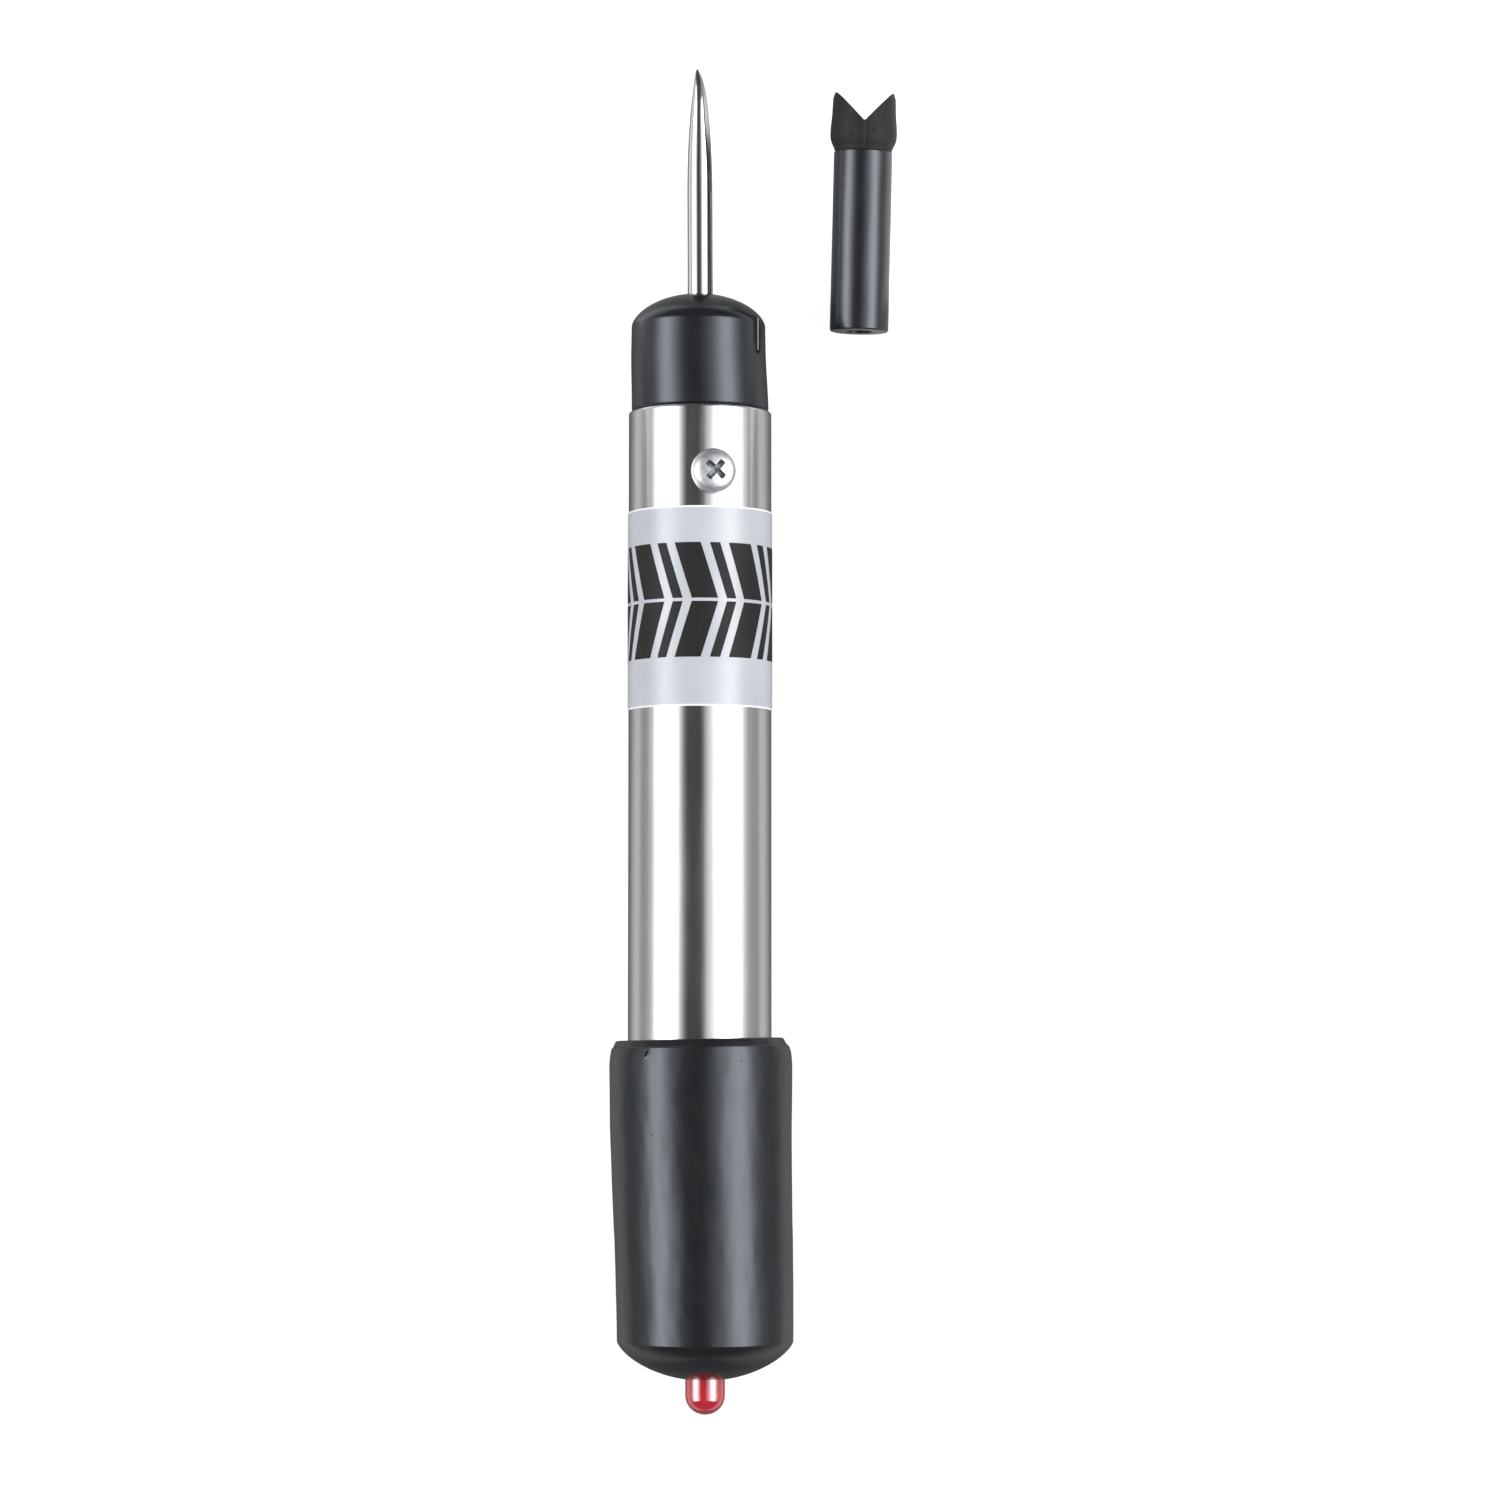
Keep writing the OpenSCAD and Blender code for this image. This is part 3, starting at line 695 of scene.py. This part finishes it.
def label_print():
    """Two rows of leaning ink bars, which together make a row of plain chevrons."""
    thick = 0.015
    row_h, row_gap, lean = 6.95, 0.4, 2.2
    first_y = LABEL_HIGH.y - 4.6
    points, faces = [], []

    def bar(left, width, top, slant):
        """One bar, from arc lengths left to left + width at its top edge."""
        across, down = max(2, round(width / 0.4)), 8
        base = len(points)
        for layer in (LABEL_R + 0.001, LABEL_R + thick):
            for j in range(down + 1):
                for i in range(across + 1):
                    arc = left + width * i / across + slant * j / down
                    points.append(polar(top - row_h * j / down, layer, arc / LABEL_R))
        row, sheet = across + 1, (across + 1) * (down + 1)
        for j in range(down):
            for i in range(across):
                a = base + j * row + i
                faces.append((a, a + 1, a + row + 1, a + row))
                a += sheet
                faces.append((a, a + row, a + row + 1, a + 1))
        edge = [(i, i + 1) for i in range(across)]
        edge += [(j * row + across, (j + 1) * row + across) for j in range(down)]
        edge += [(down * row + i + 1, down * row + i) for i in reversed(range(across))]
        edge += [((j + 1) * row, j * row) for j in reversed(range(down))]
        for a, b in edge:
            faces.append((base + a, base + b, base + b + sheet, base + a + sheet))

    widths = (3.3, 1.3)
    gap = 1.15
    pitch = sum(widths) + 2 * gap
    reach = radians(150) * LABEL_R
    left = -reach
    while left < reach:
        for k, width in enumerate(widths):
            x = left + k * (widths[0] + gap)
            bar(x, width, first_y, lean)
            bar(x + lean, width, first_y - row_h - row_gap, -lean)
        left += pitch
    return solid("label_print", points, faces)


def boot():
    """A soft boot, a little uneven: it leans at its tail, its rim is cut askew and nicked."""
    rim_y, end_y = BOOT_HIGH.y, BOOT_LOW.y
    rim_r, tail_r = BOOT_HIGH.x, 11.0
    dome_h, flat_r = 4.6, 3.2
    shoulder_y = end_y + dome_h
    bore_r, floor_r = BARREL_R + 0.05, 5.7
    floor_y = end_y + 2
    hole_r = LAMP_R + 0.05
    nick_y, nick_turn = rim_y - 1.75, radians(-36)

    lip = rounded([
        (rim_y - 0.5, bore_r, 0), (rim_y, bore_r + 0.1, 0.15), (rim_y, rim_r - 0.8, 0.3),
        (rim_y - 0.85, rim_r - 0.45, 0.08), (rim_y - 1.0, rim_r - 0.26, 0.1),
        (rim_y - 2.6, rim_r, 1.2), (rim_y - 5, rim_r - 0.03, 0)])
    near = [(y, r) for y, r in divided(lip, 0.12)]
    wall = divided([near[-1], (shoulder_y + 0.5, tail_r + 0.01)], 0.5)
    cap = dome(tail_r, dome_h, flat_r, BOOT_POWER)
    cap = [(shoulder_y - h, r) for h, r in cap]
    cap[0] = (shoulder_y + 0.12, tail_r)
    end = rounded([
        cap[-1] + (0,), (end_y, (flat_r + hole_r) / 2, 0), (end_y, hole_r, 0.15),
        (floor_y, hole_r, 0.1), (floor_y, floor_r, 0.2), (end_y + dome_h + 0.6, bore_r, 0.5),
        (rim_y - 0.5, bore_r, 0)])
    outer = near + wall[1:] + cap
    inner = end[1:-1]

    def outside(y, r, angle):
        x = sin(angle)
        front = smooth((y - (rim_y - 6)) / 6)
        skew = 0.15 + (LAMP_SIDE - 0.15) * smooth((rim_y - 8 - y) / (rim_y - shoulder_y - 8))
        soft = smooth((r - 9.4) / 1.0)
        wave = noise.noise(Vector((3 * x, y / 9, 3 * cos(angle)))) * 0.07
        wave += noise.noise(Vector((9 * x, y / 3 + 20, 9 * cos(angle)))) * 0.02
        chamfer = 0.3 * smooth((y - rim_y + 1.8) / 1.6) * smooth((x - 0.75) / 0.25)
        along = (y - nick_y) / 0.5
        off = ((angle - nick_turn + pi) % tau - pi) * r / 0.36 - 0.5 * along
        reach = sqrt(along ** 2 + off ** 2)
        nick = -0.32 * (1 - smooth(reach)) + 0.07 * (smooth(reach) - smooth((reach - 1) / 0.6))
        r = r + soft * (wave - 0.02 - chamfer + (nick if r > 10.5 else 0))
        y = y + front * 0.22 * (x - 1)
        point = polar(y, r, angle)
        return (point[0] + skew, point[1], point[2])

    def inside(y, r, angle):
        point = polar(y, r, angle)
        return (point[0] + (LAMP_SIDE if r < flat_r else 0), point[1], point[2])

    angles = around(264, [nick_turn], radians(4.5), 26)
    rings = [[outside(y, r, a) for a in angles] for y, r in outer]
    rings += [[inside(y, r, a) for a in angles] for y, r in inner]
    return loft("boot_skin", rings, closed=True, crease=50)


def lamp_lens():
    """A round-nosed lamp with a flange at its base."""
    tip_y, base_y = LAMP_LOW.y, LAMP_HIGH.y
    flange_r, flange_t = LAMP_R + 0.45, 1.0
    nose_h = LAMP_R * 0.95
    steps = 28
    profile = [(base_y, 0)]
    profile += rounded([
        (base_y, 0.5, 0), (base_y, flange_r, 0.1), (base_y - flange_t, flange_r, 0.1),
        (base_y - flange_t, LAMP_R, 0.1), (tip_y + nose_h, LAMP_R - 0.03, 0)])
    for k in range(1, steps + 1):
        a = pi / 2 * k / steps
        profile.append((tip_y + nose_h * (1 - sin(a)), (LAMP_R - 0.03) * cos(a) * (k < steps)))
    piece = lathe("lamp_glass", profile, around(96))
    return place(piece, Matrix.Translation((LAMP_SIDE * MM, 0, 0)))


def guard_place():
    """Where the guard lies: its rear end and direction come from its bore's mount."""
    mount = next(m for m in frame["record"]["mounts"] if m["name"] == "guard_bore")
    ahead = -Vector(mount["axis"])
    lean = Matrix.Rotation(-atan2(ahead.x, ahead.y), 4, "Z")
    rise = Matrix.Rotation(asin(ahead.z), 4, "X")
    return Matrix.Translation(mount["pos_m"]) @ (lean @ rise)


def guard_head():
    """A flared head with a V cut, a parting ridge above and below, two pips and a stem."""
    stem_y = HEAD_Y - STEM_LEN
    widest = 4.25
    outside = rounded([
        (stem_y, GUARD_BORE_R, 0), (stem_y, STEM_R, 0.1), (HEAD_Y, STEM_R, 0.05),
        (HEAD_Y, GUARD_R - 0.15, 0.1), (HEAD_Y + 0.5, GUARD_R - 0.02, 0.3),
        (HEAD_Y + 1.6, widest + 0.02, 0.8), (HEAD_Y + 3.0, widest, 0.6),
        (HEAD_Y + 4.6, widest - 0.16, 1.0), (GUARD_LEN - 0.7, widest - 0.24, 0.4),
        (GUARD_LEN, 3.72, 0), (GUARD_LEN, GUARD_BORE_R, 0)])

    def ridged(y, r, angle):
        if r > GUARD_R - 0.1 and y > HEAD_Y + 0.3:
            for centre in (0, pi):
                off = ((angle - centre + pi) % tau - pi) * r
                r += 0.07 * max(0.0, 1 - abs(off) / 0.13)
            for turn, where_y in ((-24, HEAD_Y + 1.9), (17, HEAD_Y + 2.4)):
                off = (angle - radians(turn) % tau) * r
                far = sqrt(off ** 2 + (y - where_y) ** 2)
                r += 0.13 * (1 - smooth(far / 0.28))
        return polar(y, r, angle)

    angles = around(160, [0, pi], 0.06, 6)
    angles = sorted(set(angles) | set(around(1, [radians(-24), radians(17)], 0.09, 8)))
    piece = lathe("guard_fork", divided(outside, 0.22), angles, ridged, closed=True, crease=40)
    return place(carve(piece, notch(), 30), guard_place())


def notch():
    """The V cut's cutter, with a slightly rounded bottom."""
    depth, half_w, bottom_r = 4.1, 3.75, 0.25
    slope = half_w / depth
    past = 1.0
    bottom = GUARD_LEN - depth
    side = sqrt(1 + slope * slope)
    steps = 8
    lean = atan2(1, slope)
    centre = bottom + bottom_r * side / slope * 0.8
    outline = []
    for k in range(steps + 1):
        a = -pi / 2 + (k / steps * 2 - 1) * (pi / 2 - lean)
        outline.append((bottom_r * cos(a), centre + bottom_r * sin(a)))
    mouth = half_w + slope * past
    outline = outline + [(mouth, GUARD_LEN + past), (-mouth, GUARD_LEN + past)]
    return stack_flat("notch", outline, 6.0)


def stack_flat(name, outline, half_height):
    """An outline (x, y) extruded from -half_height to half_height along Z."""
    count = len(outline)
    points = [(x, y, z) for z in (-half_height, half_height) for x, y in outline]
    faces = [tuple(range(count)), tuple(range(2 * count - 1, count - 1, -1))]
    faces += [(k, (k + 1) % count, (k + 1) % count + count, k + count) for k in range(count)]
    return solid(name, points, faces)


def guard_sleeve():
    """The guard's tube, with softened ends and the counterbore for the head's stem."""
    stem_y = HEAD_Y - STEM_LEN
    profile = rounded([
        (stem_y, GUARD_BORE_R, 0), (0, GUARD_BORE_R, 0.15), (0, GUARD_R, 0.35),
        (HEAD_Y, GUARD_R, 0.15), (HEAD_Y, STEM_R, 0.05), (stem_y, STEM_R, 0),
        (stem_y, GUARD_BORE_R + 0.2, 0)])

    def hand_made(y, r, angle):
        if r > GUARD_R - 0.5:
            r += noise.noise(Vector((2 * sin(angle), y / 6, 2 * cos(angle)))) * 0.02 - 0.01
        return polar(y, r, angle)

    piece = lathe("guard_tube", divided(profile, 0.8), around(144), hand_made, closed=True)
    return place(piece, guard_place())


# ---- Stage, light and camera ---------------------------------------------------------------

def floor():
    """A pale sheet that touches the boot near its rim, the barrel's front edge and the guard."""
    half = 4.0
    foot_y, nose_y = BOOT_HIGH.y - BOOT_FOOT, BARREL_HIGH.y
    slope = (BOOT_HIGH.x - BARREL_R) / (nose_y - foot_y)
    corners = [
        (x, y, -BOOT_HIGH.x * MM + (y - foot_y * MM) * slope)
        for x, y in ((-half, -half), (half, -half), (half, half), (-half, half))]
    mesh = bpy.data.meshes.new("floor")
    mesh.from_pydata(corners, [], [(0, 1, 2, 3)])
    piece = bpy.data.objects.new("floor", mesh)
    bpy.context.scene.collection.objects.link(piece)
    mesh.materials.append(floor_card())


def floor_card():
    """Card that is white to the camera, and that the tool's sides reflect in graded greys: a
    painted glow and grey, with painted shadow next to the tool and painted dark zones behind the
    lamp and beside the needle.
    """
    made = material("floor_card", {"Roughness": 0.9})
    spot = node(
        made, "ShaderNodeSeparateXYZ", {0: node(made, "ShaderNodeTexCoord").outputs["Object"]})
    aside = math(made, "ABSOLUTE", spot.outputs["X"])
    along = spot.outputs["Y"]

    def grey(measure, first, last, start, end):
        """A grey that goes from first to last between two places in millimetres."""
        return tinted(made, measure, (first,) * 3, (last,) * 3, start * MM, end * MM)

    # Painted dark zone behind the lamp, so that the boot's dome reflects dark.
    painted_dark_behind_lamp = grey(along, 0.25, 1.0, -150, -136)
    # Painted shade: the card's grey is dark next to the tool as if in its shadow, lighter a little
    # further out, and darker again far out.
    paper_with_painted_shade = grey(aside, 0.24, 0.62, 15, 23)
    for shade in (grey(aside, 1.0, 0.5, 37, 50), painted_dark_behind_lamp):
        paper_with_painted_shade = mixed(made, 1.0, paper_with_painted_shade, shade, "MULTIPLY")
    plug(made, "Base Color", paper_with_painted_shade)
    # Painted reflection glow, seen only in reflections: dim next to the tool as painted shadow, and
    # dimmed far out, behind the lamp and beside the needle.
    painted_reflection_glow = grey(aside, 0.1, 1.0, 11, 27)
    # Painted dark zone in front of the nose, beside the needle.
    painted_dark_beside_needle = grey(along, 1.0, 0.35, -10, 4)
    for shade in (grey(aside, 1.0, 0.45, 42, 62), painted_dark_behind_lamp, painted_dark_beside_needle):
        painted_reflection_glow = mixed(made, 1.0, painted_reflection_glow, shade, "MULTIPLY")
    seen = node(made, "ShaderNodeLightPath").outputs["Is Camera Ray"]
    plug(made, "Emission Color", mixed(made, seen, painted_reflection_glow, (1, 1, 1, 1)))
    reflected, white = 1.5, 0.97
    plug(made, "Emission Strength", between(made, seen, reflected, white, 0.0, 1.0))
    return made


def light_band(name, stops):
    """A long curved diffuser beside the tool, graded across by its stops (lean, radiance)."""
    radius, half_length, along = 0.9, 0.54, -0.1
    first, last = stops[0][0], stops[-1][0]
    steps = 24
    points = []
    for k in range(steps + 1):
        lean = radians(first + (last - first) * k / steps)
        points += [
            (radius * sin(lean), along + side * half_length, radius * cos(lean))
            for side in (-1, 1)]
    faces = [(2 * k, 2 * k + 1, 2 * k + 3, 2 * k + 2) for k in range(steps)]
    mesh = bpy.data.meshes.new(name)
    mesh.from_pydata(points, [], faces)
    made = material(name, {"Base Color": (0.0, 0.0, 0.0), "Specular IOR Level": 0.0})
    shader = made.node_tree.nodes["Principled BSDF"]
    spot = node(
        made, "ShaderNodeSeparateXYZ", {0: node(made, "ShaderNodeTexCoord").outputs["Object"]})
    lean = math(made, "ARCTAN2", spot.outputs["X"], spot.outputs["Z"])
    share = between(made, lean, 0.0, 1.0, radians(first), radians(last))
    peak = max(radiance for _, radiance in stops)
    ramp = node(made, "ShaderNodeValToRGB", {"Fac": share})
    marks = ramp.color_ramp.elements
    while len(marks) < len(stops):
        marks.new(0.5)
    for mark, (angle, radiance) in zip(marks, stops):
        mark.position = (angle - first) / (last - first)
        mark.color = (*(radiance / peak,) * 3, 1)
    made.node_tree.links.new(ramp.outputs["Color"], shader.inputs["Emission Color"])
    shader.inputs["Emission Strength"].default_value = peak
    mesh.materials.append(made)
    piece = bpy.data.objects.new(name, mesh)
    piece.visible_camera = False
    bpy.context.scene.collection.objects.link(piece)


def world():
    """Pale to the camera and dim for everything else."""
    made = bpy.data.worlds.new("studio")
    made.use_nodes = True
    bpy.context.scene.world = made
    tree = made.node_tree
    tree.nodes.clear()
    seen = node(made, "ShaderNodeLightPath").outputs["Is Camera Ray"]
    dim = node(made, "ShaderNodeBackground", {"Color": (0.07, 0.07, 0.073, 1)})
    pale = node(made, "ShaderNodeBackground", {"Color": (1, 1, 1, 1)})
    sky = node(made, "ShaderNodeMixShader", {0: seen, 1: dim.outputs[0], 2: pale.outputs[0]})
    out = node(made, "ShaderNodeOutputWorld")
    tree.links.new(sky.outputs[0], out.inputs["Surface"])


def camera():
    """A long lens above the tool, a little towards its lamp."""
    data = bpy.data.cameras.new("camera")
    data.sensor_width = 36
    data.lens = 113.4
    piece = bpy.data.objects.new("camera", data)
    place_at = Vector((6.3, -97.6, 593)) * MM
    target = Vector((6.3, -57.5, 0)) * MM
    piece.location = place_at
    piece.rotation_euler = (target - place_at).to_track_quat("-Z", "Y").to_euler()
    bpy.context.scene.collection.objects.link(piece)
    bpy.context.scene.camera = piece


# ---- Putting it together -------------------------------------------------------------------

def put(piece, body, made, slot, *replaced):
    piece.data.materials.clear()
    piece.data.materials.append(made)
    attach(piece, body)
    if replaced:
        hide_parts(*replaced)


def dress(made, *names):
    """Gives carried-over CAD nodes their material."""
    for name in names:
        mesh = NODES[name].data
        mesh.materials.clear()
        mesh.materials.append(made)


def build_pieces():
    put(probe_needle(), "handle", polished_steel(), "polished_steel", "probe_needle")
    put(nose_insulator(), "handle", nose_plastic(), "nose_plastic", "nose_insulator")
    put(barrel(), "handle", plated_barrel(), "plated_barrel", "barrel")
    put(nose_screw(), "handle", zinc_screw(), "zinc_screw", "nose_screw")
    put(label_band(), "handle", label_film(), "label_film", "label_band")
    put(label_print(), "handle", label_ink(), "label_film")
    put(boot(), "lamp_cap", boot_vinyl(), "boot_vinyl", "boot")
    put(lamp_lens(), "lamp_cap", lamp_epoxy(), "lamp_epoxy", "lamp_lens")
    put(guard_head(), "needle_guard", guard_head_plastic(), "guard_head_plastic", "guard_head")
    put(
        guard_sleeve(), "needle_guard", guard_sleeve_plastic(), "guard_sleeve_plastic",
        "guard_sleeve")


def dress_inside():
    brass = inner_metal("contact_brass", (0.55, 0.38, 0.14), (0.78, 0.6, 0.28), 0.25)
    dress(brass, "needle_ferrule", "contact_disc", "supply_strip", "battery_contact")
    dress(brass, "barrel_contact")
    wire = inner_metal("spring_steel", (0.42, 0.42, 0.44), (0.62, 0.62, 0.64), 0.2)
    dress(wire, "front_spring", "rear_spring")
    tin = inner_metal("lamp_frame", (0.5, 0.5, 0.48), (0.7, 0.7, 0.68), 0.3)
    dress(tin, "lamp_leads")
    can = inner_metal("cell_steel", (0.5, 0.51, 0.53), (0.7, 0.71, 0.73), 0.2)
    dress(can, "front_cell_can", "front_cell_cap", "rear_cell_can", "rear_cell_cap")
    liner = inner_plastic("liner_plastic", (0.55, 0.52, 0.42), (0.68, 0.65, 0.55), 0.4)
    dress(liner, "battery_liner")
    carrier = inner_plastic("carrier_plastic", (0.72, 0.7, 0.64), (0.82, 0.8, 0.75), 0.35)
    dress(carrier, "lamp_carrier")
    chips = inner_plastic("component_body", (0.012, 0.012, 0.013), (0.03, 0.03, 0.03), 0.4)
    dress(chips, "transistors", "resistors")
    dress(board_laminate(), "circuit_board")
    for name in ("front_cell_jacket", "rear_cell_jacket"):
        dress(cell_film(*span(name)), name)


camera()
floor()
world()
light_band("left_light", [
    (-92, 0.5), (-85, 0.55), (-80, 0.85), (-75, 1.5), (-70, 3.0), (-64, 5.0), (-53, 5.5),
    (-43, 3.1), (-33, 1.0), (-26, 0.3), (-20, 0.05)])
light_band("right_light", [
    (4, 0.06), (9, 0.45), (15, 0.8), (22, 1.1), (30, 2.5), (42, 5.2), (54, 5.8), (63, 3.2),
    (70, 1.5), (77, 0.8), (84, 0.45), (91, 0.4)])
build_pieces()
dress_inside()

view = bpy.context.scene.view_settings
view.view_transform = "Standard"
view.look = "None"
